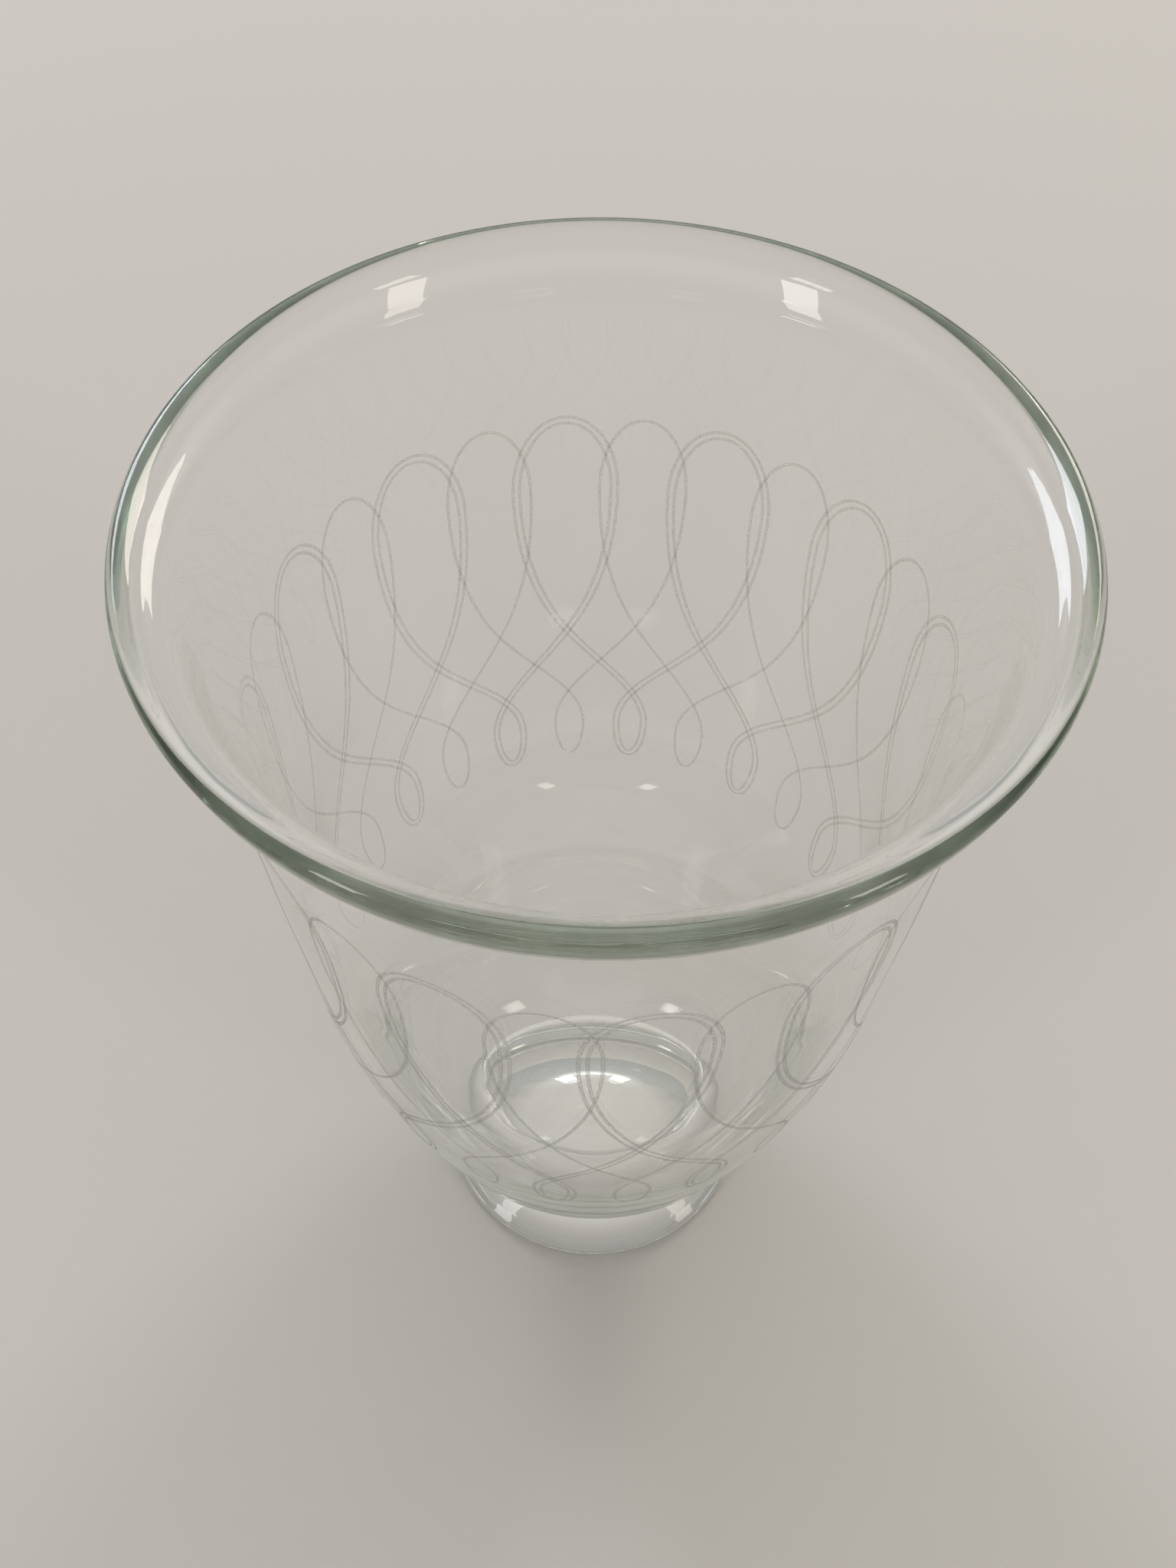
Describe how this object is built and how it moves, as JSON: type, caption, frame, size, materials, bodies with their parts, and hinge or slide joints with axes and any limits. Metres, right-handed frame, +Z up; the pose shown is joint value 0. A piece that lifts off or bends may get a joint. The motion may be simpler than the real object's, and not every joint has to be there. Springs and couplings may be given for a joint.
{
  "type": "footed glass vessel",
  "caption": "Clear blown glass vessel: deep bellied bowl with a flared round-edged mouth, on a short spreading foot with a hollow underside.",
  "frame": {"origin": "centre of the ring that the foot rests on, on the surface it stands on", "axes": "+Z up along the axis of the vessel, towards the mouth"},
  "size_m": [0.13, 0.13, 0.231],
  "materials": {
    "clear_glass": "clear, fire polished, faint grey-green in the thick edges; fine etched looping lines on the bowl are in the visual model only"
  },
  "bodies": {
    "root": {"bowl": "clear_glass", "foot": "clear_glass"}
  },
  "joints": []
}
